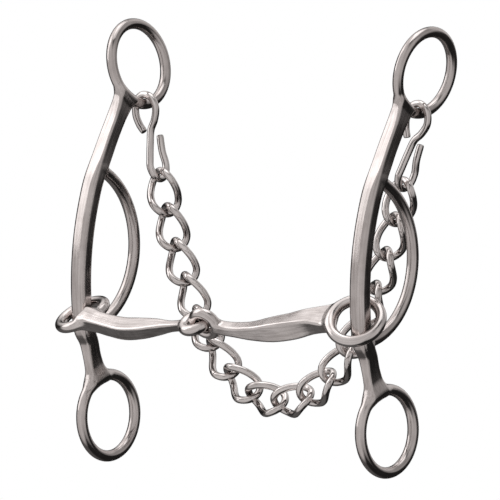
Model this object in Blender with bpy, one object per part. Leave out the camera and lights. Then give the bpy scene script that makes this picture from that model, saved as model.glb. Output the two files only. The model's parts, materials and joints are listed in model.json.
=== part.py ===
"""Sliding-mouth curb bit: two cast cheeks, a jointed mouthpiece, two curb hooks and a curb chain.

Bit frame used while modelling, in metres: X to the right cheek, Y to the rear, Z up, with the
origin in the middle of the mouthpiece's width, at the front shank's mouth level. The whole
assembly then hangs from an empty that brings the middle of its box to the world's origin.
"""

import math

import bmesh
import bpy
from mathutils import Matrix, Vector

# Driving dimensions, metres
CHEEK_X = 0.0662                # middle plane of each cheek, from the bit's centre
RUNNING_GAP = 0.0003            # clearance between pieces that touch

HEADSTALL_CENTRE = (0.0332, 0.0958)     # y, z
HEADSTALL_RADIUS = 0.0151               # to the middle of the wire
HEADSTALL_WIRE = 0.0040
HEADSTALL_FLARE = 11.0                  # degrees, the ring's top outwards
HEADSTALL_OUTSET = 0.0018               # the ring's centre, outboard of the shank
REIN_CENTRE = (0.0150, -0.0337)
REIN_RADIUS = 0.0151
REIN_WIRE = 0.0042

SLOT_CENTRE = (0.0990, 0.0170)          # the front shank is an arc that the mouthpiece rides
SLOT_RADIUS = 0.1000
SLOT_LOW_Z = -0.0010
SLOT_HIGH_Z = 0.0534
SLOT_STATIONS = 8

LOOP_CENTRE = (-0.0011, 0.0289)         # rear loop of the slot
LOOP_RADIUS = 0.0303
LOOP_WIRE = 0.0043
LOOP_ANGLES = (-84.0, 72.0)             # degrees, from the rear direction

EYE_X = 0.0642                          # mouthpiece eyes round the front shanks
EYE_CENTRE = {-1: (-0.0024, 0.0043), 1: (-0.0003, 0.0069)}
EYE_RADIUS = {-1: 0.0090, 1: 0.0094}
EYE_WIRE = 0.0041
EYE_LEAN = {-1: 10.0, 1: 18.0}          # degrees, inner edge up
EYE_TURN = {-1: 30.0, 1: 48.0}          # degrees, rear edge up

JOINT_CENTRE = (-0.0115, 0.0039)        # the two cannons' link, at x = 0
JOINT_RADIUS = 0.0046
JOINT_WIRE = 0.0042
JOINT_TURN = {-1: 35.0, 1: -55.0}       # degrees, rear edge up, of each cannon's inner eye

HOOK_WIRE = 0.0027
HOOK_LEAN = 15.0                        # degrees, towards the bit's centre
HOOK_STEP = 0.0022                      # spacing of the wire's stations

LINK_COUNT = 16
LINK_PITCH = 0.0134                     # inside length, contact to contact
LINK_WIRE = 0.0027
LINK_WIDTH = 0.0128
LINK_TWIST = -90.0                      # degrees from a link's first end bow to its second
LINK_ROLL = 90.0                        # degrees, turn of a link's middle about the chain's line
LINK_ROLL_EASE = -28.0                  # degrees that the first and last links turn to their hooks
LINK_STATIONS = 24

RING_SEGMENTS = 36
WIRE_SIDES = 8

# Shank stations, metres: y, z, half width in x, half depth, corner radius as a share of the
# smaller half. The arc of the slot comes between the upper and the lower ones.
UPPER_SHANK = (
    (0.0238, 0.0846, 0.0020, 0.0039, 0.9),
    (0.0219, 0.0815, 0.0024, 0.0034, 0.6),
    (0.0186, 0.0763, 0.0027, 0.0029, 0.4),
    (0.0145, 0.0694, 0.0027, 0.0027, 0.4),
    (0.0105, 0.0620, 0.0027, 0.0027, 0.5),
)
SLOT_SECTION = (0.0033, 0.0031, 0.75)
LOWER_SHANK = (
    (0.0036, -0.0058, 0.0024, 0.0031, 0.5),
    (0.0054, -0.0112, 0.0020, 0.0033, 0.45),
    (0.0070, -0.0158, 0.0020, 0.0037, 0.45),
    (0.0083, -0.0198, 0.0019, 0.0044, 0.9),
)

# Cannon stations, metres from the bit's centre: distance along x, y, z, half width, half
# thickness, and the turn of the section about x in degrees, its rear going up
CANNON = {
    -1: (
        (0.0070, -0.0107, 0.0030, 0.0018, 0.0020, 45.0),
        (0.0100, -0.0103, 0.0026, 0.0015, 0.0020, 45.0),
        (0.0150, -0.0100, 0.0021, 0.0015, 0.0020, 45.0),
        (0.0220, -0.0096, 0.0015, 0.0024, 0.0026, 45.0),
        (0.0300, -0.0092, 0.0007, 0.0031, 0.0030, 45.0),
        (0.0380, -0.0087, 0.0003, 0.0032, 0.0032, 45.0),
        (0.0450, -0.0082, 0.0010, 0.0030, 0.0032, 45.0),
        (0.0510, -0.0078, 0.0020, 0.0030, 0.0031, 45.0),
        (0.0560, -0.0073, 0.0029, 0.0032, 0.0032, 45.0),
        (0.0590, -0.0070, 0.0036, 0.0030, 0.0030, 45.0),
    ),
    1: (
        (0.0070, -0.0107, 0.0030, 0.0022, 0.0020, 30.0),
        (0.0100, -0.0102, 0.0024, 0.0023, 0.0020, 30.0),
        (0.0150, -0.0094, 0.0020, 0.0025, 0.0021, 30.0),
        (0.0220, -0.0082, 0.0018, 0.0026, 0.0029, 30.0),
        (0.0300, -0.0067, 0.0026, 0.0032, 0.0038, 30.0),
        (0.0380, -0.0051, 0.0040, 0.0036, 0.0039, 31.0),
        (0.0450, -0.0036, 0.0059, 0.0040, 0.0034, 38.0),
        (0.0510, -0.0022, 0.0070, 0.0049, 0.0025, 46.0),
        (0.0545, -0.0012, 0.0074, 0.0056, 0.0021, 48.0),
    ),
}
CANNON_CORNER = 0.45

# Curb hook, metres: x, y, distance below the eye's top, along the hook's own axis
HOOK_PATH = (
    (-0.0026, 0.0000, 0.0135),
    (-0.0042, 0.0000, 0.0102),
    (-0.0049, 0.0000, 0.0062),
    (-0.0036, 0.0000, 0.0018),
    (0.0000, 0.0000, 0.0000),
    (0.0037, 0.0000, 0.0018),
    (0.0050, 0.0000, 0.0060),
    (0.0034, 0.0000, 0.0102),
    (0.0010, -0.0003, 0.0136),
    (0.0004, -0.0013, 0.0180),
    (0.0002, -0.0030, 0.0240),
    (0.0000, -0.0036, 0.0275),
    (0.0000, -0.0022, 0.0308),
    (0.0000, 0.0009, 0.0320),
    (0.0000, 0.0041, 0.0304),
    (0.0000, 0.0055, 0.0265),
    (0.0000, 0.0049, 0.0214),
    (0.0000, 0.0054, 0.0155),
)
HOOK_BOTTOM = 13                        # index of the seat for the chain's last link

# Colours: stainless steel, a little warm, in linear values
STEEL = (0.56, 0.53, 0.52)
CHAIN_STEEL = (0.50, 0.48, 0.47)


def clear_scene():
    """Remove whatever the scene holds."""
    for obj in list(bpy.data.objects):
        bpy.data.objects.remove(obj, do_unlink=True)


def new_collection(name):
    """A collection linked to the scene."""
    collection = bpy.data.collections.new(name)
    bpy.context.scene.collection.children.link(collection)
    return collection


def steel(name, colour, roughness):
    """A polished or satin steel material."""
    material = bpy.data.materials.new(name)
    material.use_nodes = True
    shader = material.node_tree.nodes["Principled BSDF"]
    shader.inputs["Base Color"].default_value = (*colour, 1.0)
    shader.inputs["Metallic"].default_value = 1.0
    shader.inputs["Roughness"].default_value = roughness
    return material


def add_object(name, mesh, collection, material=None):
    """An object of a mesh, in one collection."""
    obj = bpy.data.objects.new(name, mesh)
    collection.objects.link(obj)
    if material:
        mesh.materials.append(material)
    mesh.shade_smooth()
    mesh.set_sharp_from_angle(angle=math.radians(40.0))
    return obj


def mesh_from_sections(name, sections):
    """A capped skin over rings of points that all have the same count."""
    work = bmesh.new()
    rings = [[work.verts.new(point) for point in section] for section in sections]
    for first, second in zip(rings, rings[1:]):
        for k in range(len(first)):
            after = (k + 1) % len(first)
            work.faces.new((first[k], first[after], second[after], second[k]))
    work.faces.new(rings[0])
    work.faces.new(rings[-1])
    bmesh.ops.recalc_face_normals(work, faces=work.faces)
    mesh = bpy.data.meshes.new(name)
    work.to_mesh(mesh)
    work.free()
    return mesh


def rounded_rectangle(half_u, half_v, corner, steps=3):
    """Outline points of a rectangle with round corners, counter-clockwise."""
    points = []
    for quarter, (sign_u, sign_v) in enumerate(((1, 1), (-1, 1), (-1, -1), (1, -1))):
        for step in range(steps + 1):
            angle = math.radians(90.0 * (quarter + step / steps))
            u = sign_u * (half_u - corner) + corner * math.cos(angle)
            v = sign_v * (half_v - corner) + corner * math.sin(angle)
            points.append((u, v))
    return points


def smooth_path(points, step):
    """Points about one step apart on a Catmull-Rom curve through the given ones."""
    guide = [Vector(point) for point in points]
    guide = [2 * guide[0] - guide[1]] + guide + [2 * guide[-1] - guide[-2]]
    path = []
    for before, start, end, after in zip(guide, guide[1:], guide[2:], guide[3:]):
        count = max(1, round((end - start).length / step))
        for k in range(count):
            t = k / count
            path.append(
                0.5 * (2 * start + (end - before) * t
                       + (2 * before - 5 * start + 4 * end - after) * t ** 2
                       + (3 * start - before - 3 * end + after) * t ** 3))
    path.append(guide[-2])
    return path


def wire_mesh(name, points, diameter, cyclic=False):
    """The closed mesh of a round wire along points, made from a bevelled curve."""
    curve = bpy.data.curves.new(name, "CURVE")
    curve.dimensions = "3D"
    curve.bevel_depth = diameter / 2
    curve.bevel_resolution = 2
    curve.use_fill_caps = not cyclic
    curve.twist_mode = "MINIMUM"
    spline = curve.splines.new("POLY")
    spline.points.add(len(points) - 1)
    for target, point in zip(spline.points, points):
        target.co = (*point, 1.0)
    spline.use_cyclic_u = cyclic
    guide = bpy.data.objects.new(name, curve)
    bpy.context.scene.collection.objects.link(guide)
    evaluated = guide.evaluated_get(bpy.context.evaluated_depsgraph_get())
    mesh = bpy.data.meshes.new_from_object(evaluated)
    bpy.data.objects.remove(guide, do_unlink=True)
    bpy.data.curves.remove(curve)
    work = bmesh.new()
    work.from_mesh(mesh)
    bmesh.ops.remove_doubles(work, verts=work.verts, dist=0.00001)
    bmesh.ops.recalc_face_normals(work, faces=work.faces)
    work.to_mesh(mesh)
    work.free()
    mesh.name = name
    return mesh


def ring_mesh(name, radius, wire, matrix):
    """A torus about the matrix's Z axis."""
    bpy.ops.mesh.primitive_torus_add(
        major_radius=radius, minor_radius=wire / 2,
        major_segments=RING_SEGMENTS, minor_segments=WIRE_SIDES)
    obj = bpy.context.active_object
    mesh = obj.data
    mesh.name = name
    bpy.data.objects.remove(obj, do_unlink=True)
    mesh.transform(matrix)
    return mesh


def join_to(base, name, mesh, helpers):
    """Unite a mesh with the base object by a Boolean modifier on a hidden helper."""
    helper = add_object(name, mesh, helpers)
    helper.parent = base.parent
    helper.matrix_basis = base.matrix_basis
    helper.hide_render = True
    helper.display_type = "WIRE"
    union = base.modifiers.new(name, "BOOLEAN")
    union.operation = "UNION"
    union.object = helper


# Cheeks

def slot_point(z):
    """The front shank's centreline at a height on the slot's arc."""
    rise = z - SLOT_CENTRE[1]
    return SLOT_CENTRE[0] - math.sqrt(SLOT_RADIUS ** 2 - rise ** 2)


def shank_stations():
    """Every station of the shank from the headstall ring down to the rein ring."""
    stations = list(UPPER_SHANK)
    for k in range(SLOT_STATIONS):
        z = SLOT_HIGH_Z + (SLOT_LOW_Z - SLOT_HIGH_Z) * k / (SLOT_STATIONS - 1)
        stations.append((slot_point(z), z, *SLOT_SECTION))
    return stations + list(LOWER_SHANK)


def shank_mesh(name):
    """The shank, a loft of rounded sections square to its centreline."""
    stations = shank_stations()
    sections = []
    for k, (y, z, half_x, half_depth, share) in enumerate(stations):
        before = stations[max(k - 1, 0)]
        after = stations[min(k + 1, len(stations) - 1)]
        along = Vector((0.0, after[0] - before[0], after[1] - before[1])).normalized()
        across = along.cross(Vector((1.0, 0.0, 0.0)))
        corner = share * min(half_x, half_depth)
        outline = rounded_rectangle(half_x, half_depth, corner)
        sections.append([Vector((u, y, z)) + v * across for u, v in outline])
    return mesh_from_sections(name, sections)


def loop_mesh(name):
    """The slot's rear loop, a wire on an arc whose ends sink into the shank."""
    low, high = LOOP_ANGLES
    count = 22
    points = []
    for k in range(count + 1):
        angle = math.radians(low + (high - low) * k / count)
        y = LOOP_CENTRE[0] + LOOP_RADIUS * math.cos(angle)
        z = LOOP_CENTRE[1] + LOOP_RADIUS * math.sin(angle)
        points.append((0.0, y, z))
    return wire_mesh(name, points, LOOP_WIRE)


def headstall_place(side):
    """The headstall ring's place on its cheek: its Z axis is the ring's own."""
    flare = Matrix.Rotation(math.radians(90.0 + side * HEADSTALL_FLARE), 4, "Y")
    return Matrix.Translation((side * HEADSTALL_OUTSET, *HEADSTALL_CENTRE)) @ flare


def build_cheek(side_name, side, collection, helpers, material, frame):
    """One cheek: shank, headstall ring, rein ring and slot loop, cast as one piece."""
    name = side_name + "_cheek"
    cheek = add_object(name, shank_mesh(name), collection, material)
    cheek.parent = frame
    cheek.location = (side * CHEEK_X, 0.0, 0.0)
    headstall = ring_mesh(
        name + "_headstall", HEADSTALL_RADIUS, HEADSTALL_WIRE, headstall_place(side))
    upright = Matrix.Translation((0.0, *REIN_CENTRE)) @ Matrix.Rotation(math.pi / 2, 4, "Y")
    rein = ring_mesh(name + "_rein", REIN_RADIUS, REIN_WIRE, upright)
    join_to(cheek, name + "_loop", loop_mesh(name + "_loop"), helpers)
    join_to(cheek, name + "_headstall", headstall, helpers)
    join_to(cheek, name + "_rein", rein, helpers)


# Mouthpiece

def cannon_mesh(name, side):
    """One bar of the mouthpiece, a loft from the centre joint to its outer eye."""
    sections = []
    for x, y, z, half_u, half_v, degrees in CANNON[side]:
        turn = Matrix.Rotation(math.radians(degrees), 3, "X")
        centre = Vector((side * x, y, z))
        outline = rounded_rectangle(half_u, half_v, CANNON_CORNER * min(half_u, half_v))
        sections.append([centre + turn @ Vector((0.0, u, v)) for u, v in outline])
    return mesh_from_sections(name, sections)


def eye_place(centre, turn, lean):
    """A mouthpiece eye's place: its Z axis is the ring's own."""
    rear_up = Matrix.Rotation(math.radians(turn), 4, "X")
    return Matrix.Translation(centre) @ rear_up @ Matrix.Rotation(math.radians(lean), 4, "Y")


def build_cannon(side_name, side, collection, helpers, material, frame):
    """One cannon: the bar, its eye round the shank and its eye in the centre joint."""
    name = side_name + "_cannon"
    cannon = add_object(name, cannon_mesh(name, side), collection, material)
    cannon.parent = frame
    centre = (side * EYE_X, *EYE_CENTRE[side])
    place = eye_place(centre, EYE_TURN[side], side * EYE_LEAN[side])
    outer = ring_mesh(name + "_outer_eye", EYE_RADIUS[side], EYE_WIRE, place)
    reach = JOINT_RADIUS - (JOINT_WIRE + RUNNING_GAP) / 2
    place = eye_place((side * reach, *JOINT_CENTRE), JOINT_TURN[side], 0.0)
    inner = ring_mesh(name + "_inner_eye", JOINT_RADIUS, JOINT_WIRE, place)
    join_to(cannon, name + "_outer_eye", outer, helpers)
    join_to(cannon, name + "_inner_eye", inner, helpers)


# Curb hooks

def hook_matrix(side):
    """Where a curb hook hangs: its origin on the middle of the ring's bottom wire."""
    lean = Matrix.Rotation(math.radians(side * HOOK_LEAN), 4, "Y")
    lowest = headstall_place(side) @ Vector((HEADSTALL_RADIUS, 0.0, 0.0))
    return Matrix.Translation(lowest + Vector((side * CHEEK_X, 0.0, 0.0))) @ lean


def hook_point(x, y, depth):
    """A point of the hook from its origin, on the ring's wire."""
    top = (HEADSTALL_WIRE + HOOK_WIRE + RUNNING_GAP) / 2
    return Vector((x, y, top - depth))


def build_hook(side_name, side, collection, material, frame):
    """One curb hook, bent from one wire."""
    path = smooth_path([hook_point(*point) for point in HOOK_PATH], HOOK_STEP)
    name = side_name + "_curb_hook"
    hook = add_object(name, wire_mesh(name, path, HOOK_WIRE), collection, material)
    hook.parent = frame
    hook.matrix_local = hook_matrix(side)


# Curb chain

def catenary(half_span, length):
    """The parameter of a catenary of a given length over a given half span."""
    low = half_span / 20
    high = half_span * 20
    for _ in range(80):
        middle = (low + high) / 2
        if middle * math.sinh(half_span / middle) > length / 2:
            low = middle
        else:
            high = middle
    return middle


def chain_contacts():
    """The points where the chain's links and hooks touch, from left to right."""
    seat = hook_matrix(-1) @ hook_point(*HOOK_PATH[HOOK_BOTTOM])
    offset = (HOOK_WIRE + RUNNING_GAP) / 2
    length = LINK_COUNT * LINK_PITCH
    half_span = -seat.x
    slope = 0.0
    for _ in range(20):
        half_span = -seat.x + offset * math.cos(slope)
        curve = catenary(half_span, length)
        slope = math.atan(math.sinh(half_span / curve))
    end_z = seat.z + offset * math.sin(slope)
    contacts = []
    for k in range(LINK_COUNT + 1):
        arc = length * (k / LINK_COUNT - 0.5)
        x = curve * math.asinh(arc / curve)
        drop = curve * (math.cosh(half_span / curve) - math.cosh(x / curve))
        contacts.append(Vector((x, seat.y, end_z - drop)))
    return contacts


def link_points():
    """The centreline of one twisted link along X, about its middle."""
    end = (LINK_PITCH + LINK_WIRE + RUNNING_GAP) / 2
    bow = (LINK_WIDTH - LINK_WIRE) / 2
    straight = end - bow
    perimeter = 2 * math.pi * bow + 4 * straight
    points = []
    for k in range(LINK_STATIONS):
        arc = perimeter * k / LINK_STATIONS
        flip = 1 if arc < perimeter / 2 else -1
        arc = arc % (perimeter / 2)
        if arc < 2 * straight:
            x, y = straight - arc, bow
        else:
            angle = (arc - 2 * straight) / bow
            x, y = -straight - bow * math.sin(angle), bow * math.cos(angle)
        x, y = flip * x, flip * y
        twist = math.radians(LINK_TWIST / 2) * math.sin(x / end * math.pi / 2)
        points.append((x, y * math.cos(twist), y * math.sin(twist)))
    return points


def build_chain(collection, material, frame):
    """The links, each one the same mesh, on a catenary between the hooks."""
    mesh = wire_mesh("chain_link", link_points(), LINK_WIRE, cyclic=True)
    contacts = chain_contacts()
    for number, (start, end) in enumerate(zip(contacts, contacts[1:]), 1):
        along = (end - start).normalized()
        across = Vector((0.0, 1.0, 0.0))
        place = Matrix((along, across, along.cross(across))).transposed().to_4x4()
        ease = (1 - 2 * (number - 1) / (LINK_COUNT - 1)) ** 3
        roll = Matrix.Rotation(math.radians(LINK_ROLL + LINK_ROLL_EASE * ease), 4, "X")
        name = "chain_link_%02d" % number
        link = add_object(name, mesh.copy(), collection, material)
        link.parent = frame
        link.matrix_local = Matrix.Translation((start + end) / 2) @ place @ roll
    bpy.data.meshes.remove(mesh)


def frame_shift():
    """From the bit frame's origin to the middle of the assembly's box."""
    rear = HEADSTALL_CENTRE[0] + HEADSTALL_RADIUS + HEADSTALL_WIRE / 2
    turn = math.radians(JOINT_TURN[-1])
    front = JOINT_CENTRE[0] - JOINT_RADIUS * math.cos(turn) - JOINT_WIRE / 2
    top = HEADSTALL_CENTRE[1] + HEADSTALL_RADIUS + HEADSTALL_WIRE / 2
    bottom = REIN_CENTRE[1] - REIN_RADIUS - REIN_WIRE / 2
    return Vector((0.0, -(rear + front) / 2, -(top + bottom) / 2))


def main():
    """Build the whole bit."""
    clear_scene()
    collection = new_collection("curb_bit")
    helpers = new_collection("curb_bit_helpers")
    cheek_steel = steel("cheek_steel", STEEL, 0.22)
    mouth_steel = steel("mouthpiece_steel", STEEL, 0.28)
    chain_steel = steel("chain_steel", CHAIN_STEEL, 0.18)
    hook_steel = steel("hook_steel", CHAIN_STEEL, 0.2)
    frame = bpy.data.objects.new("bit_frame", None)
    collection.objects.link(frame)
    frame.location = frame_shift()
    for side_name, side in (("left", -1), ("right", 1)):
        build_cheek(side_name, side, collection, helpers, cheek_steel, frame)
        build_cannon(side_name, side, collection, helpers, mouth_steel, frame)
        build_hook(side_name, side, collection, hook_steel, frame)
    build_chain(collection, chain_steel, frame)


main()
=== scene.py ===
"""Looks of the sliding-mouth curb bit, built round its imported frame."""

import json
import math

import bpy
import numpy as np
from mathutils import Matrix, Vector


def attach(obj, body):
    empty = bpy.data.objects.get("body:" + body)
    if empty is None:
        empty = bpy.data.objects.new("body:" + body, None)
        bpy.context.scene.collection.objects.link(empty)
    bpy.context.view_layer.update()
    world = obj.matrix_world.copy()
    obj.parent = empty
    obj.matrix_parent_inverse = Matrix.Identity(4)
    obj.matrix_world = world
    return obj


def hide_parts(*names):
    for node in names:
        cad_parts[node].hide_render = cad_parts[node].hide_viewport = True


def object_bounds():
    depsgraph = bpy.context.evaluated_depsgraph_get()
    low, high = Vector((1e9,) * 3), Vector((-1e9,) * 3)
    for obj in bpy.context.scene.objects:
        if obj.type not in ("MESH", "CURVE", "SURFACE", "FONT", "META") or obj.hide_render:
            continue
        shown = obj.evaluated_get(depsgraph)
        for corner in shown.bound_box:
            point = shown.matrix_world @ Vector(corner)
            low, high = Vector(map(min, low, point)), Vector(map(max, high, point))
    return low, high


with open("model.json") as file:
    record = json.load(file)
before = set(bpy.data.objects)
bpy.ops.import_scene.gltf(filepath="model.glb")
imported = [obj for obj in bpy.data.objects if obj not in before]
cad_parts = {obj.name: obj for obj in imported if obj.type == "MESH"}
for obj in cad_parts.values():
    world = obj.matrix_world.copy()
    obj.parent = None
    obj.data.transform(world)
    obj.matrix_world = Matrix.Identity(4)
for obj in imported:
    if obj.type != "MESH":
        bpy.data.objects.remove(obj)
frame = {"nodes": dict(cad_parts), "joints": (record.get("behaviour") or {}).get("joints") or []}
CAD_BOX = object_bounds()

JOINTS = {joint["name"]: joint for joint in frame["joints"]}
SIDES = (("left", -1), ("right", 1))
LINK_COUNT = sum(name.startswith("chain_link_") for name in frame["nodes"])

# Places are in the bit's own frame, in metres: x to the right cheek, y to the rear, z up. The
# slide joint's axis is the centre of the front shank's arc, which ties that frame to the world.
SLOT_CENTRE = np.array((0.0, 0.0990, 0.0170))
SLOT_RADIUS = 0.1000
ORIGIN = np.array(JOINTS["mouthpiece_slide"]["pos_m"]) - SLOT_CENTRE
FOLD = np.array(JOINTS["mouth_fold"]["pos_m"]) - ORIGIN
CHEEK_X = 0.0662
RUNNING_GAP = 0.0003

HEADSTALL_CENTRE = (0.0332, 0.0958)
HEADSTALL_RADIUS = 0.0151
HEADSTALL_WIRE = 0.0040
HEADSTALL_FLARE = math.radians(11.0)
HEADSTALL_OUTSET = 0.0018
REIN_CENTRE = (0.0150, -0.0337)
REIN_RADIUS = 0.0151
REIN_WIRE = 0.0042
LOOP_CENTRE = (-0.0011, 0.0289)
LOOP_RADIUS = 0.0303
LOOP_WIRE = 0.0043
LOOP_ANGLES = (-84.0, 72.0)

EYE_X = 0.0642
EYE_CENTRE = {-1: (-0.0024, 0.0043), 1: (-0.0009, 0.0069)}
EYE_RADIUS = {-1: 0.0090, 1: 0.0094}
EYE_WIRE = 0.0041
EYE_LEAN = {-1: math.radians(10.0), 1: math.radians(18.0)}
EYE_TURN = {-1: math.radians(30.0), 1: math.radians(48.0)}
JOINT_RADIUS = 0.0046
JOINT_WIRE = 0.0042
JOINT_TURN = {-1: math.radians(35.0), 1: math.radians(-55.0)}

# Shank stations: y, z, half width, half depth, edge radius
SHANK_TOP = (
    (0.0236, 0.0842, 0.0021, 0.0046, 0.0012),
    (0.0217, 0.0811, 0.0023, 0.0038, 0.0010),
    (0.0186, 0.0763, 0.0026, 0.0030, 0.0008),
    (0.0145, 0.0694, 0.0027, 0.0028, 0.0007),
    (0.0105, 0.0620, 0.0028, 0.0028, 0.0007),
)
SHANK_ARC = (0.0534, -0.0010)
ARC_SECTION = (0.0033, 0.0031, 0.0019)
SHANK_FOOT = (
    (0.0036, -0.0058, 0.0025, 0.0031, 0.0010),
    (0.0054, -0.0112, 0.0020, 0.0033, 0.0008),
    (0.0070, -0.0158, 0.0020, 0.0037, 0.0008),
    (0.0084, -0.0200, 0.0020, 0.0046, 0.0012),
)

# Cannon stations: distance from the centre joint, y, z, half width, half thickness, and the
# turn of the section about x, its rear going up
CANNON = {
    -1: (
        (0.0070, -0.0107, 0.0030, 0.0018, 0.0020, 45.0),
        (0.0100, -0.0103, 0.0026, 0.0015, 0.0020, 45.0),
        (0.0150, -0.0100, 0.0021, 0.0015, 0.0020, 45.0),
        (0.0220, -0.0096, 0.0015, 0.0024, 0.0026, 45.0),
        (0.0300, -0.0092, 0.0007, 0.0031, 0.0030, 45.0),
        (0.0380, -0.0087, 0.0003, 0.0032, 0.0032, 45.0),
        (0.0450, -0.0082, 0.0010, 0.0030, 0.0032, 45.0),
        (0.0510, -0.0078, 0.0020, 0.0030, 0.0031, 45.0),
        (0.0560, -0.0073, 0.0029, 0.0032, 0.0032, 45.0),
        (0.0590, -0.0070, 0.0036, 0.0030, 0.0030, 45.0),
    ),
    1: (
        (0.0070, -0.0107, 0.0030, 0.0022, 0.0020, 30.0),
        (0.0100, -0.0102, 0.0024, 0.0023, 0.0020, 30.0),
        (0.0150, -0.0094, 0.0020, 0.0025, 0.0021, 30.0),
        (0.0220, -0.0082, 0.0018, 0.0026, 0.0029, 30.0),
        (0.0300, -0.0067, 0.0026, 0.0032, 0.0038, 30.0),
        (0.0380, -0.0051, 0.0040, 0.0036, 0.0039, 31.0),
        (0.0450, -0.0036, 0.0059, 0.0040, 0.0034, 38.0),
        (0.0510, -0.0022, 0.0070, 0.0049, 0.0025, 46.0),
        (0.0545, -0.0012, 0.0074, 0.0056, 0.0021, 48.0),
    ),
}
CANNON_EDGE = 0.0008

HOOK_WIRE = 0.0027
HOOK_LEAN = math.radians(15.0)
HOOK_PATH = (
    (-0.0026, 0.0000, 0.0135),
    (-0.0042, 0.0000, 0.0102),
    (-0.0049, 0.0000, 0.0062),
    (-0.0036, 0.0000, 0.0018),
    (0.0000, 0.0000, 0.0000),
    (0.0037, 0.0000, 0.0018),
    (0.0050, 0.0000, 0.0060),
    (0.0034, 0.0000, 0.0102),
    (0.0010, -0.0003, 0.0136),
    (0.0004, -0.0013, 0.0180),
    (0.0002, -0.0030, 0.0240),
    (0.0000, -0.0036, 0.0275),
    (0.0000, -0.0022, 0.0308),
    (0.0000, 0.0009, 0.0320),
    (0.0000, 0.0041, 0.0304),
    (0.0000, 0.0055, 0.0265),
    (0.0000, 0.0049, 0.0214),
    (0.0000, 0.0054, 0.0155),
)

LINK_PITCH = 0.0134
LINK_WIRE = 0.0027
LINK_WIDTH = 0.0128
LINK_TWIST = math.radians(-90.0)
LINK_ROLL = 90.0
LINK_ROLL_EASE = -28.0

# Blend widths of the fillets where cast parts meet
LOOP_FILLET = 0.0016
HEADSTALL_FILLET = 0.0022
REIN_FILLET = 0.0040
EYE_FILLET = 0.0030
JOINT_FILLET = 0.0011

# Fineness of the meshes: field cell, cells along a culling block, points tested at a time, and
# the distances between stations of cast parts and of the hook's wire
FINE_CELL = 0.0004
BLOCK = 6
CHUNK = 60000
STATION_STEP = 0.0012
HOOK_STEP = 0.0004
SHARP_ANGLE = math.radians(50.0)


# Distance fields

def torus(centre, axis, radius, wire):
    """A ring of round wire: signed distance and grain coordinates of points."""
    axis = np.array(axis, float) / np.linalg.norm(axis)
    side = np.cross(axis, (0.31, 0.52, 0.79))
    side /= np.linalg.norm(side)
    other = np.cross(axis, side)

    def field(points):
        local = points - centre
        high = local @ axis
        flat = local - high[:, None] * axis
        reach = np.linalg.norm(flat, axis=1)
        along = radius * np.arctan2(flat @ other, flat @ side)
        distance = np.hypot(reach - radius, high) - wire / 2
        return distance, np.stack((along, reach - radius, high), 1)
    return field


def sweep_field(path, outlines, edge):
    """A convex outline swept along a path of many stations, its edges and ends rounded.

    path is the stations' places and the two directions of each section. outlines holds each
    section's corners along those directions, and edge the radius it is grown and rounded by.
    """
    places, first, second = path
    step = np.linalg.norm(np.diff(places, axis=0), axis=1)
    arc = np.concatenate(((0.0,), np.cumsum(step)))
    tangent = np.gradient(places, arc, axis=0)
    tangent /= np.linalg.norm(tangent, axis=1)[:, None]
    count = len(places)

    def field(points):
        best = np.argmin(
            (points ** 2).sum(1)[:, None] - 2 * points @ places.T + (places ** 2).sum(1), axis=1)
        shift = ((points - places[best]) * tangent[best]).sum(1)
        place = np.interp(arc[best] + shift, arc, np.arange(count))
        low = np.minimum(place.astype(int), count - 2)
        share = (place - low)[:, None]

        def between(values):
            t = share.reshape((-1,) + (1,) * (values.ndim - 1))
            return values[low] * (1 - t) + values[low + 1] * t

        local = points - between(places)
        u = (local * between(first)).sum(1)
        v = (local * between(second)).sum(1)
        corners = between(outlines)
        radius = between(edge)
        over = np.maximum(np.maximum(-shift * (best == 0), shift * (best == count - 1)), 0.0)
        inside = np.full(len(points), -1.0)
        outside = np.full(len(points), 1e9)
        for k in range(corners.shape[1]):
            a = corners[:, k]
            edge_line = corners[:, (k + 1) % corners.shape[1]] - a
            span = np.hypot(edge_line[:, 0], edge_line[:, 1])
            du = u - a[:, 0]
            dv = v - a[:, 1]
            plane = (du * edge_line[:, 1] - dv * edge_line[:, 0]) / span
            inside = np.maximum(inside, plane)
            t = np.clip((du * edge_line[:, 0] + dv * edge_line[:, 1]) / span ** 2, 0.0, 1.0)
            gap = np.hypot(du - t * edge_line[:, 0], dv - t * edge_line[:, 1])
            outside = np.minimum(outside, gap)
        flat = np.where(inside > 0.0, outside, inside)
        capped = np.where(over > 0.0, np.hypot(np.maximum(flat, 0.0), over), flat)
        return capped - radius, np.stack((arc[best] + shift, u, v), 1)
    return field


def united(parts):
    """Fields joined with fillets: each entry after the first is (field, fillet)."""
    def field(points):
        distance, grain = parts[0](points)
        for other, fillet in parts[1:]:
            near, other_grain = other(points)
            share = np.clip(0.5 + 0.5 * (distance - near) / fillet, 0.0, 1.0)
            grain = np.where((near < distance)[:, None], other_grain, grain)
            distance = distance * (1 - share) + near * share - fillet * share * (1 - share)
        return distance, grain
    return field


def in_chunks(field, points):
    """A field's distances and grain at many points."""
    parts = [field(points[k:k + CHUNK]) for k in range(0, len(points), CHUNK)]
    return np.concatenate([p[0] for p in parts]), np.concatenate([p[1] for p in parts])


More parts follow.
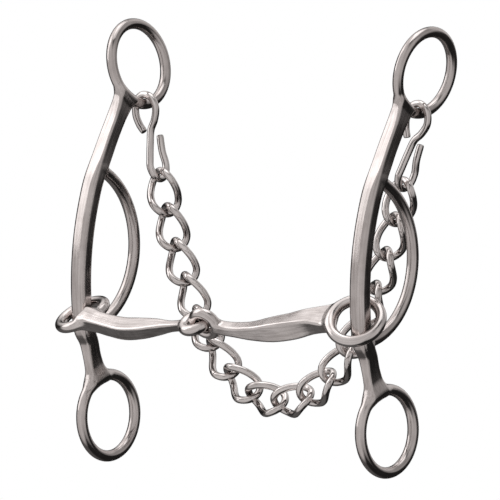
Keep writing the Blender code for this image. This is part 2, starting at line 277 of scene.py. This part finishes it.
def surface(field, low, high):
    """Vertices and quads of a field's zero surface inside a box."""
    low = np.array(low)
    blocks = np.ceil((np.array(high) - low) / (FINE_CELL * BLOCK)).astype(int)
    size = blocks * BLOCK
    mids = np.stack(np.meshgrid(*[np.arange(n) + 0.5 for n in blocks], indexing="ij"), -1)
    middle = low + mids.reshape(-1, 3) * FINE_CELL * BLOCK
    coarse = in_chunks(field, middle)[0].reshape(blocks)
    near = np.abs(coarse) < 1.1 * FINE_CELL * BLOCK
    for axis in range(3):
        coarse = np.repeat(coarse, BLOCK, axis)
        near = np.repeat(near, BLOCK, axis)
    value = coarse.copy()
    spots = np.argwhere(near)
    value[near] = in_chunks(field, low + (spots + 0.5) * FINE_CELL)[0]
    solid = value < 0.0

    total = np.zeros(tuple(size - 1))
    centre = np.zeros(tuple(size - 1) + (3,))
    for axis in range(3):
        others = [a for a in range(3) if a != axis]
        first = [slice(None)] * 3
        second = [slice(None)] * 3
        first[axis] = slice(0, -1)
        second[axis] = slice(1, None)
        one = value[tuple(first)]
        two = value[tuple(second)]
        cross = (one < 0.0) != (two < 0.0)
        part = np.where(cross, one / np.where(cross, one - two, 1.0), 0.0)
        for da in (0, 1):
            for db in (0, 1):
                pick = [slice(0, size[a] - 1) for a in range(3)]
                pick[others[0]] = slice(da, size[others[0]] - 1 + da)
                pick[others[1]] = slice(db, size[others[1]] - 1 + db)
                hit = cross[tuple(pick)]
                total += hit
                centre[..., axis] += np.where(hit, part[tuple(pick)], 0.0)
                centre[..., others[0]] += hit * da
                centre[..., others[1]] += hit * db
    used = total > 0
    number = np.full(used.shape, -1)
    number[used] = np.arange(used.sum())
    cells = np.argwhere(used)
    points = low + (cells + 0.5 + centre[used] / total[used][:, None]) * FINE_CELL

    quads = []
    for axis in range(3):
        a, b = [(1, 2), (2, 0), (0, 1)][axis]
        inner = [slice(0, n - 1) for n in size]
        inner[a] = slice(1, size[a] - 1)
        inner[b] = slice(1, size[b] - 1)
        ahead = list(inner)
        ahead[axis] = slice(1, size[axis])
        one = solid[tuple(inner)]
        two = solid[tuple(ahead)]
        for flip, mask in ((False, one & ~two), (True, ~one & two)):
            spots = np.argwhere(mask)
            spots[:, a] += 1
            spots[:, b] += 1
            ring = []
            for da, db in ((-1, -1), (0, -1), (0, 0), (-1, 0)):
                corner = spots.copy()
                corner[:, a] += da
                corner[:, b] += db
                ring.append(number[corner[:, 0], corner[:, 1], corner[:, 2]])
            if flip:
                ring.reverse()
            quads.append(np.stack(ring, 1))
    quads = np.concatenate(quads)
    return points, quads


def settle(field, points, rounds=3):
    """Points moved onto a field's zero surface, and their grain coordinates."""
    reach = 0.00002
    for _ in range(rounds):
        distance, grain = in_chunks(field, points)
        slope = np.empty_like(points)
        for axis in range(3):
            moved = points.copy()
            moved[:, axis] += reach
            slope[:, axis] = (in_chunks(field, moved)[0] - distance) / reach
        square = np.maximum((slope ** 2).sum(1), 0.25)
        move = -(distance / square)[:, None] * slope
        far = np.linalg.norm(move, axis=1)
        limit = np.minimum(1.0, 0.0004 / np.maximum(far, 1e-9))
        points = points + move * limit[:, None]
    return points, in_chunks(field, points)[1]


def relax(points, quads, rounds=2):
    """Points evened out along the surface by their neighbours."""
    edges = np.concatenate([quads[:, (k, (k + 1) % 4)] for k in range(4)])
    for _ in range(rounds):
        mean = np.zeros_like(points)
        count = np.zeros(len(points))
        np.add.at(mean, edges[:, 0], points[edges[:, 1]])
        np.add.at(mean, edges[:, 1], points[edges[:, 0]])
        np.add.at(count, edges[:, 0], 1)
        np.add.at(count, edges[:, 1], 1)
        points = 0.5 * points + 0.5 * mean / count[:, None]
    return points


# Meshes and pieces

def smooth_path(points, step):
    """Points about one step apart on a Catmull-Rom curve through the given rows."""
    guide = np.array(points, float)
    guide = np.concatenate(([2 * guide[0] - guide[1]], guide, [2 * guide[-1] - guide[-2]]))
    path = []
    for before, start, end, after in zip(guide, guide[1:], guide[2:], guide[3:]):
        count = max(1, round(np.linalg.norm((end - start)[:3]) / step))
        for k in range(count):
            t = k / count
            path.append(
                0.5 * (2 * start + (end - before) * t
                       + (2 * before - 5 * start + 4 * end - after) * t ** 2
                       + (3 * start - before - 3 * end + after) * t ** 3))
    path.append(guide[-2])
    return np.array(path)


def tube(points, radii, sides, closed=False):
    """A round tube along points: vertices, faces and grain coordinates."""
    count = len(points)
    if closed:
        tangent = np.roll(points, -1, 0) - np.roll(points, 1, 0)
    else:
        tangent = np.gradient(points, axis=0)
    tangent /= np.linalg.norm(tangent, axis=1)[:, None]
    normal = np.cross(tangent[0], (0.21, 0.93, 0.30))
    normals = [normal / np.linalg.norm(normal)]
    turns = list(range(1, count)) + ([0] if closed else [])
    for k in turns:
        normal = normals[-1] - (normals[-1] @ tangent[k]) * tangent[k]
        normals.append(normal / np.linalg.norm(normal))
    if closed:
        last = normals.pop()
        slip = math.atan2(np.cross(last, normals[0]) @ tangent[0], last @ normals[0])
    else:
        slip = 0.0
    step = np.linalg.norm(np.diff(points, axis=0), axis=1)
    arc = np.concatenate(((0.0,), np.cumsum(step)))
    vertices = []
    grain = []
    for k in range(count):
        other = np.cross(tangent[k], normals[k])
        for s in range(sides):
            angle = 2 * math.pi * s / sides + slip * k / count
            u = radii[k] * math.cos(angle)
            v = radii[k] * math.sin(angle)
            vertices.append(points[k] + u * normals[k] + v * other)
            grain.append((arc[k], u, v))
    faces = []
    for k in range(count if closed else count - 1):
        after = (k + 1) % count
        for s in range(sides):
            t = (s + 1) % sides
            faces.append((k * sides + s, k * sides + t, after * sides + t, after * sides + s))
    if not closed:
        faces.append(tuple(range(sides - 1, -1, -1)))
        faces.append(tuple((count - 1) * sides + s for s in range(sides)))
    return np.array(vertices), faces, np.array(grain)


def make_piece(name, vertices, faces, grain, material, body):
    """A finished piece that stands for the CAD node of its body."""
    mesh = bpy.data.meshes.new(name)
    mesh.from_pydata((vertices + ORIGIN).tolist(), [], [tuple(f) for f in faces])
    mesh.validate()
    layer = mesh.attributes.new("grain", "FLOAT_VECTOR", "POINT")
    layer.data.foreach_set("vector", np.asarray(grain, float).ravel())
    mesh.materials.append(material)
    mesh.shade_smooth()
    mesh.set_sharp_from_angle(angle=SHARP_ANGLE)
    piece = bpy.data.objects.new(name, mesh)
    bpy.context.scene.collection.objects.link(piece)
    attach(piece, body)
    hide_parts(body)


def cast(name, field, low, high, material):
    """A cast piece from its distance field."""
    points, quads = surface(field, low, high)
    points, _ = settle(field, points, 2)
    points = relax(points, quads)
    points, grain = settle(field, points, 3)
    make_piece(name + "_finish", points, quads, grain, material, name)


# Cheeks

def shank_path():
    """Fine stations of the shank: places, two section directions, half sizes and edges."""
    rows = list(SHANK_TOP)
    for k in range(8):
        z = SHANK_ARC[0] + (SHANK_ARC[1] - SHANK_ARC[0]) * k / 7
        y = SLOT_CENTRE[1] - math.sqrt(SLOT_RADIUS ** 2 - (z - SLOT_CENTRE[2]) ** 2)
        rows.append((y, z) + ARC_SECTION)
    rows += list(SHANK_FOOT)
    rows = smooth_path([(0.0,) + row for row in rows], STATION_STEP)
    places = rows[:, :3]
    tangent = np.gradient(places, axis=0)
    tangent /= np.linalg.norm(tangent, axis=1)[:, None]
    first = np.tile((1.0, 0.0, 0.0), (len(rows), 1))
    second = np.cross(tangent, first)
    return (places, first, second), rows[:, 3], rows[:, 4], rows[:, 5]


def rounded_box_outline(half_u, half_v, edge):
    """Corners of each station's rectangle, drawn in by its edge radius."""
    u = half_u - edge
    v = half_v - edge
    return np.stack([np.stack(pair, 1) for pair in ((u, v), (-u, v), (-u, -v), (u, -v))], 1)


def cheek_field(side):
    """One cheek, about its own middle plane."""
    path, half_x, half_d, edge = shank_path()
    shank = sweep_field(path, rounded_box_outline(half_x, half_d, edge), edge)
    low, high = np.radians(LOOP_ANGLES)
    angles = np.linspace(low, high, 90)
    places = np.stack((
        0 * angles, LOOP_CENTRE[0] + LOOP_RADIUS * np.cos(angles),
        LOOP_CENTRE[1] + LOOP_RADIUS * np.sin(angles)), 1)
    across = np.tile((1.0, 0.0, 0.0), (len(angles), 1))
    outward = np.stack((0 * angles, np.cos(angles), np.sin(angles)), 1)
    point = np.full(len(angles), 0.0001)
    wire = LOOP_WIRE / 2 - point
    outline = rounded_box_outline(point, point, 0 * point)
    loop = sweep_field((places, across, outward), outline, wire)
    axis = (math.cos(HEADSTALL_FLARE), 0.0, -side * math.sin(HEADSTALL_FLARE))
    headstall = torus(
        (side * HEADSTALL_OUTSET, *HEADSTALL_CENTRE), axis, HEADSTALL_RADIUS, HEADSTALL_WIRE)
    rein = torus((0.0, *REIN_CENTRE), (1.0, 0.0, 0.0), REIN_RADIUS, REIN_WIRE)
    return united([
        shank, (loop, LOOP_FILLET), (headstall, HEADSTALL_FILLET), (rein, REIN_FILLET)])


def build_cheek(side_name, side, material):
    """A cheek: shank, two rings and the slot's loop, cast as one."""
    field = cheek_field(side)
    shift = np.array((side * CHEEK_X, 0.0, 0.0))

    def placed(points):
        return field(points - shift)
    inner, outer = 0.0040, 0.0085
    low = shift + (-inner if side > 0 else -outer, -0.0070, -0.0530)
    high = shift + (outer if side > 0 else inner, 0.0530, 0.1150)
    cast(side_name + "_cheek", placed, low, high, material)


# Mouthpiece

def turned(vector, turn):
    """A vector turned about x, the rear going up."""
    x, y, z = vector
    return (x, y * math.cos(turn) - z * math.sin(turn), y * math.sin(turn) + z * math.cos(turn))


def cannon_field(side):
    """One cannon: the bar, its eye on the shank and its eye in the centre joint."""
    rows = smooth_path(CANNON[side], STATION_STEP)
    places = np.stack((side * rows[:, 0], rows[:, 1], rows[:, 2]), 1)
    turn = np.radians(rows[:, 5])
    none = np.zeros(len(rows))
    first = np.stack((none, np.cos(turn), np.sin(turn)), 1)
    second = np.stack((none, -np.sin(turn), np.cos(turn)), 1)
    edge = np.full(len(rows), CANNON_EDGE)
    bar = sweep_field(
        (places, first, second), rounded_box_outline(rows[:, 3], rows[:, 4], edge), edge)
    lean = side * EYE_LEAN[side]
    eye = torus(
        (side * EYE_X, *EYE_CENTRE[side]),
        turned((math.sin(lean), 0.0, math.cos(lean)), EYE_TURN[side]), EYE_RADIUS[side], EYE_WIRE)
    reach = JOINT_RADIUS - (JOINT_WIRE + RUNNING_GAP) / 2
    link = torus(
        (side * reach, FOLD[1], FOLD[2]), turned((0.0, 0.0, 1.0), JOINT_TURN[side]),
        JOINT_RADIUS, JOINT_WIRE)
    return united([bar, (eye, EYE_FILLET), (link, JOINT_FILLET)])


def build_cannon(side_name, side, material):
    """A cannon, cast in one piece."""
    near = -0.0050
    far = EYE_X + 0.0130
    low = (near if side > 0 else -far, -0.0205, -0.0085)
    high = (far if side > 0 else -near, 0.0125, 0.0180)
    cast(side_name + "_cannon", cannon_field(side), low, high, material)


# Curb hooks and chain

def headstall_low_point(side):
    """The middle of the headstall ring's lowest wire."""
    return np.array((
        side * (CHEEK_X + HEADSTALL_OUTSET - HEADSTALL_RADIUS * math.sin(HEADSTALL_FLARE)),
        HEADSTALL_CENTRE[0],
        HEADSTALL_CENTRE[1] - HEADSTALL_RADIUS * math.cos(HEADSTALL_FLARE)))


def hook_points(side):
    """The hook's centreline where it hangs on its ring."""
    top = (HEADSTALL_WIRE + HOOK_WIRE + RUNNING_GAP) / 2
    path = smooth_path(HOOK_PATH, HOOK_STEP)
    path[:, 2] = top - path[:, 2]
    cos, sin = math.cos(side * HOOK_LEAN), math.sin(side * HOOK_LEAN)
    leaning = np.stack((
        path[:, 0] * cos + path[:, 2] * sin, path[:, 1], path[:, 2] * cos - path[:, 0] * sin), 1)
    return leaning + headstall_low_point(side)


def build_hook(side_name, side, material):
    """A curb hook bent from one wire, its cut ends eased."""
    points = hook_points(side)
    radii = np.full(len(points), HOOK_WIRE / 2)
    ease = (0.70, 0.90, 0.98)
    for k, share in enumerate(ease):
        radii[k] *= share
        radii[-1 - k] *= share
    for end, inner in ((0, 1), (-1, -2)):
        points[inner] = 0.7 * points[end] + 0.3 * points[inner]
    vertices, faces, grain = tube(points, radii, 28)
    name = side_name + "_curb_hook"
    make_piece(name + "_finish", vertices, faces, grain, material, name)


def link_points():
    """The centreline of one twisted link along x, about its middle."""
    end = (LINK_PITCH + LINK_WIRE + RUNNING_GAP) / 2
    bow = (LINK_WIDTH - LINK_WIRE) / 2
    straight = end - bow
    perimeter = 2 * math.pi * bow + 4 * straight
    points = []
    count = 72
    for k in range(count):
        arc = perimeter * k / count
        flip = 1 if arc < perimeter / 2 else -1
        arc = arc % (perimeter / 2)
        if arc < 2 * straight:
            x, y = straight - arc, bow
        else:
            angle = (arc - 2 * straight) / bow
            x, y = -straight - bow * math.sin(angle), bow * math.cos(angle)
        x, y = flip * x, flip * y
        twist = LINK_TWIST / 2 * math.sin(x / end * math.pi / 2)
        points.append((x, y * math.cos(twist), y * math.sin(twist)))
    return np.array(points)


def build_chain(material):
    """The links, each placed on the line of its own joint."""
    points = link_points()
    radii = np.full(len(points), LINK_WIRE / 2)
    vertices, faces, grain = tube(points, radii, 24, closed=True)
    for number in range(1, LINK_COUNT + 1):
        name = "chain_link_%02d" % number
        joint = JOINTS[name + "_twist"]
        along = np.array(joint["axis"], float)
        across = np.array((0.0, 1.0, 0.0))
        up = np.cross(along, across)
        ease = (1 - 2 * (number - 1) / (LINK_COUNT - 1)) ** 3
        roll = math.radians(LINK_ROLL + LINK_ROLL_EASE * ease)
        first = across * math.cos(roll) + up * math.sin(roll)
        second = up * math.cos(roll) - across * math.sin(roll)
        placed = vertices @ np.stack((along, first, second))
        placed = placed + np.array(joint["pos_m"]) - ORIGIN
        offset = grain + (0.05 * number, 0.0, 0.0)
        make_piece(name + "_finish", placed, faces, offset, material, name)


# Materials

def steel(name, colour, dark_tone_and_shade, roughness, streak, seed):
    """Polished steel: drawn streaks, uneven polish, painted shade that darkens the hollows and
    creases, and lighter convex edges.
    """
    material = bpy.data.materials.new(name)
    material.use_nodes = True
    tree = material.node_tree
    nodes = tree.nodes
    links = tree.links
    shader = nodes["Principled BSDF"]
    shader.inputs["Metallic"].default_value = 1.0

    def node(kind, **settings):
        made = nodes.new(kind)
        for key, value in settings.items():
            setattr(made, key, value)
        return made

    def noise(vector, scale, detail, rough):
        made = node("ShaderNodeTexNoise")
        made.inputs["Scale"].default_value = scale
        made.inputs["Detail"].default_value = detail
        made.inputs["Roughness"].default_value = rough
        links.new(vector, made.inputs["Vector"])
        return made.outputs["Fac"]

    def spread(value, low, high, to_low, to_high):
        made = node("ShaderNodeMapRange")
        for key, number in (
                ("From Min", low), ("From Max", high), ("To Min", to_low), ("To Max", to_high)):
            made.inputs[key].default_value = number
        links.new(value, made.inputs["Value"])
        return made.outputs["Result"]

    def math_node(operation, one, two):
        made = node("ShaderNodeMath", operation=operation)
        for socket, value in zip(made.inputs, (one, two)):
            if isinstance(value, float):
                socket.default_value = value
            else:
                links.new(value, socket)
        return made.outputs["Value"]

    grain = node("ShaderNodeAttribute", attribute_name="grain")
    shift = node("ShaderNodeMapping")
    shift.inputs["Location"].default_value = (seed, seed, seed)
    shift.inputs["Scale"].default_value = (45.0, 1700.0, 1700.0)
    links.new(grain.outputs["Vector"], shift.inputs["Vector"])
    drawn = noise(shift.outputs["Vector"], 1.0, 5.0, 0.62)
    place = node("ShaderNodeTexCoord").outputs["Object"]
    cloud = noise(place, 110.0, 4.0, 0.55)
    pores = noise(place, 1500.0, 3.0, 0.6)
    edge = node("ShaderNodeNewGeometry").outputs["Pointiness"]

    # The dark colour is both the darker end of the random tone and the painted shade in hollows and
    # creases
    mix = node("ShaderNodeMix", data_type="RGBA")
    mix.inputs["A"].default_value = (*dark_tone_and_shade, 1.0)
    mix.inputs["B"].default_value = (*colour, 1.0)
    tone_and_hollow_shade = math_node(
        "ADD", spread(cloud, 0.3, 0.7, -0.20, 0.12), spread(drawn, 0.3, 0.7, -0.32, 0.16))
    # Painted shade: low pointiness darkens the base colour in hollows, creases and the fillets
    # between cast parts; high pointiness lightens it on convex edges
    tone_and_hollow_shade = math_node("ADD", tone_and_hollow_shade, spread(edge, 0.42, 0.52, 0.35, 0.95))
    clamp = node("ShaderNodeClamp")
    links.new(tone_and_hollow_shade, clamp.inputs["Value"])
    links.new(clamp.outputs["Result"], mix.inputs["Factor"])
    links.new(mix.outputs["Result"], shader.inputs["Base Color"])

    polish = math_node(
        "ADD", spread(cloud, 0.3, 0.7, roughness * 0.7, roughness * 1.35),
        spread(drawn, 0.35, 0.7, -0.03, 0.06))
    links.new(polish, shader.inputs["Roughness"])

    height = math_node("MULTIPLY", drawn, streak)
    height = math_node("ADD", height, spread(pores, 0.0, 1.0, 0.0, 0.10))
    height = math_node("ADD", height, spread(cloud, 0.0, 1.0, 0.0, 0.5))
    bump = node("ShaderNodeBump")
    bump.inputs["Strength"].default_value = 0.35
    bump.inputs["Distance"].default_value = 0.00012
    links.new(height, bump.inputs["Height"])
    links.new(bump.outputs["Normal"], shader.inputs["Normal"])
    return material


# Studio

FLOOR_DROP = 0.115
FLOOR_RADIUS = 1.25
FLOOR_SIDES = 96


def pale_floor():
    """A round pale floor below the object, clear of what the front view takes in."""
    low = CAD_BOX[0].z - FLOOR_DROP
    points = []
    for k in range(FLOOR_SIDES):
        angle = 2 * math.pi * k / FLOOR_SIDES
        points.append((FLOOR_RADIUS * math.cos(angle), FLOOR_RADIUS * math.sin(angle), low))
    mesh = bpy.data.meshes.new("floor")
    mesh.from_pydata(points, [], [tuple(range(FLOOR_SIDES))])
    material = bpy.data.materials.new("floor_paper")
    material.use_nodes = True
    tree = material.node_tree
    shader = tree.nodes["Principled BSDF"]
    shader.inputs["Roughness"].default_value = 0.9
    fibre = tree.nodes.new("ShaderNodeTexNoise")
    fibre.inputs["Scale"].default_value = 300.0
    ramp = tree.nodes.new("ShaderNodeValToRGB")
    ramp.color_ramp.elements[0].color = (0.86, 0.86, 0.86, 1.0)
    ramp.color_ramp.elements[1].color = (0.90, 0.90, 0.90, 1.0)
    tree.links.new(fibre.outputs["Fac"], ramp.inputs["Fac"])
    tree.links.new(ramp.outputs["Color"], shader.inputs["Base Color"])
    mesh.materials.append(material)
    floor = bpy.data.objects.new("floor", mesh)
    bpy.context.scene.collection.objects.link(floor)
    floor.visible_glossy = False


# Lobes of the studio round the object: direction, where the lobe starts and is full, as the
# cosine of the angle from that direction, and its brightness
STUDIO_BASE = 0.02
STUDIO_LOBES = (
    ((-0.05, -1.0, 0.0), 0.20, 0.60, 0.66),
    ((-0.45, -0.05, 0.89), 0.60, 0.98, 1.16),
    ((-0.60, 0.0, -0.80), 0.55, 0.95, 0.12),
    ((0.60, 0.55, 0.58), 0.75, 0.95, 0.42),
    ((1.0, -0.20, 0.15), 0.60, 0.92, 0.60),
    ((0.0, 0.95, 0.55), 0.78, 0.97, 0.70),
    ((0.0, 0.0, 1.0), 0.90, 0.99, 0.80),
)
STUDIO_TINT = (1.0, 0.975, 0.965)


def studio_world():
    """Soft bright lobes on dark surroundings for the steel, and a white backdrop for the camera."""
    world = bpy.data.worlds.new("studio")
    bpy.context.scene.world = world
    world.use_nodes = True
    tree = world.node_tree
    nodes = tree.nodes
    links = tree.links
    direction = nodes.new("ShaderNodeTexCoord").outputs["Generated"]
    value = None
    for lobe, low, high, gain in STUDIO_LOBES:
        dot = nodes.new("ShaderNodeVectorMath")
        dot.operation = "DOT_PRODUCT"
        links.new(direction, dot.inputs[0])
        dot.inputs[1].default_value = Vector(lobe).normalized()
        ramp = nodes.new("ShaderNodeMapRange")
        ramp.interpolation_type = "SMOOTHSTEP"
        for key, number in (
                ("From Min", low), ("From Max", high), ("To Min", 0.0), ("To Max", gain)):
            ramp.inputs[key].default_value = number
        links.new(dot.outputs["Value"], ramp.inputs["Value"])
        brighter = nodes.new("ShaderNodeMath")
        brighter.operation = "MAXIMUM"
        links.new(ramp.outputs["Result"], brighter.inputs[0])
        if value is None:
            brighter.inputs[1].default_value = STUDIO_BASE
        else:
            links.new(value, brighter.inputs[1])
        value = brighter.outputs["Value"]
    studio = nodes["Background"]
    studio.inputs["Color"].default_value = (*STUDIO_TINT, 1.0)
    links.new(value, studio.inputs["Strength"])
    backdrop = nodes.new("ShaderNodeBackground")
    backdrop.inputs["Color"].default_value = (1.0, 1.0, 1.0, 1.0)
    backdrop.inputs["Strength"].default_value = 1.0
    seen = nodes.new("ShaderNodeLightPath").outputs["Is Camera Ray"]
    mix = nodes.new("ShaderNodeMixShader")
    links.new(seen, mix.inputs["Fac"])
    links.new(studio.outputs["Background"], mix.inputs[1])
    links.new(backdrop.outputs["Background"], mix.inputs[2])
    links.new(mix.outputs["Shader"], nodes["World Output"].inputs["Surface"])


def studio_light(name, towards, distance, width, height, power):
    """A soft rectangular light that faces the object."""
    data = bpy.data.lights.new(name, "AREA")
    data.shape = "RECTANGLE"
    data.size = width
    data.size_y = height
    data.energy = power
    light = bpy.data.objects.new(name, data)
    towards = Vector(towards).normalized()
    light.location = towards * distance
    light.rotation_euler = (-towards).to_track_quat("-Z", "Y").to_euler()
    light.visible_camera = False
    bpy.context.scene.collection.objects.link(light)


# The camera: its direction, its distance from the aim and the width it sees there. The offset
# moves the aim left and down, and so the object right and up in the picture.
AZIMUTH = math.radians(39.68)
ELEVATION = math.radians(2.67)
CAMERA_ROLL = math.radians(0.365)
CAMERA_DISTANCE = 4.0
FRAME_WIDTH = 0.18285
AIM = np.array((0.0, 0.0196, 0.0310))
AIM_OFFSET = (0.00196, 0.00146)


def photo_camera():
    """The long-lens camera at the photograph's angle."""
    right = Vector((math.cos(AZIMUTH), math.sin(AZIMUTH), 0.0))
    back = Vector((
        math.sin(AZIMUTH) * math.cos(ELEVATION),
        -math.cos(AZIMUTH) * math.cos(ELEVATION), math.sin(ELEVATION)))
    up = back.cross(right)
    cos, sin = math.cos(CAMERA_ROLL), math.sin(CAMERA_ROLL)
    right, up = right * cos + up * sin, up * cos - right * sin
    target = Vector(AIM + ORIGIN) - right * AIM_OFFSET[0] - up * AIM_OFFSET[1]
    data = bpy.data.cameras.new("camera")
    data.sensor_width = 36.0
    data.lens = 36.0 * CAMERA_DISTANCE / FRAME_WIDTH
    data.clip_start = 0.05
    data.clip_end = 50.0
    camera = bpy.data.objects.new("camera", data)
    bpy.context.scene.collection.objects.link(camera)
    place = Matrix((right, up, back)).transposed().to_4x4()
    place.translation = target + back * CAMERA_DISTANCE
    camera.matrix_world = place
    bpy.context.scene.camera = camera


def main():
    """Build the bit's visible pieces and its studio."""
    # Each steel's second colour is its dark end: random darker tone, and painted shade in hollows
    # and creases
    cheek = steel("cheek_steel", (0.68, 0.63, 0.615), (0.18, 0.15, 0.14), 0.14, 0.9, 1.3)
    mouth = steel("mouthpiece_steel", (0.82, 0.77, 0.755), (0.20, 0.17, 0.16), 0.14, 0.7, 4.1)
    hook = steel("hook_steel", (0.80, 0.755, 0.74), (0.12, 0.10, 0.095), 0.08, 0.6, 7.7)
    chain = steel("chain_steel", (0.80, 0.755, 0.74), (0.10, 0.08, 0.075), 0.06, 0.5, 9.2)
    for side_name, side in SIDES:
        build_cheek(side_name, side, cheek)
        build_cannon(side_name, side, mouth)
        build_hook(side_name, side, hook)
    build_chain(chain)
    pale_floor()
    studio_world()
    studio_light("key", (-0.75, -0.55, 0.55), 1.6, 0.9, 1.4, 4.0)
    studio_light("top", (0.1, 0.1, 1.0), 1.5, 1.4, 1.0, 4.0)
    photo_camera()
    bpy.context.scene.view_settings.view_transform = "Standard"


main()
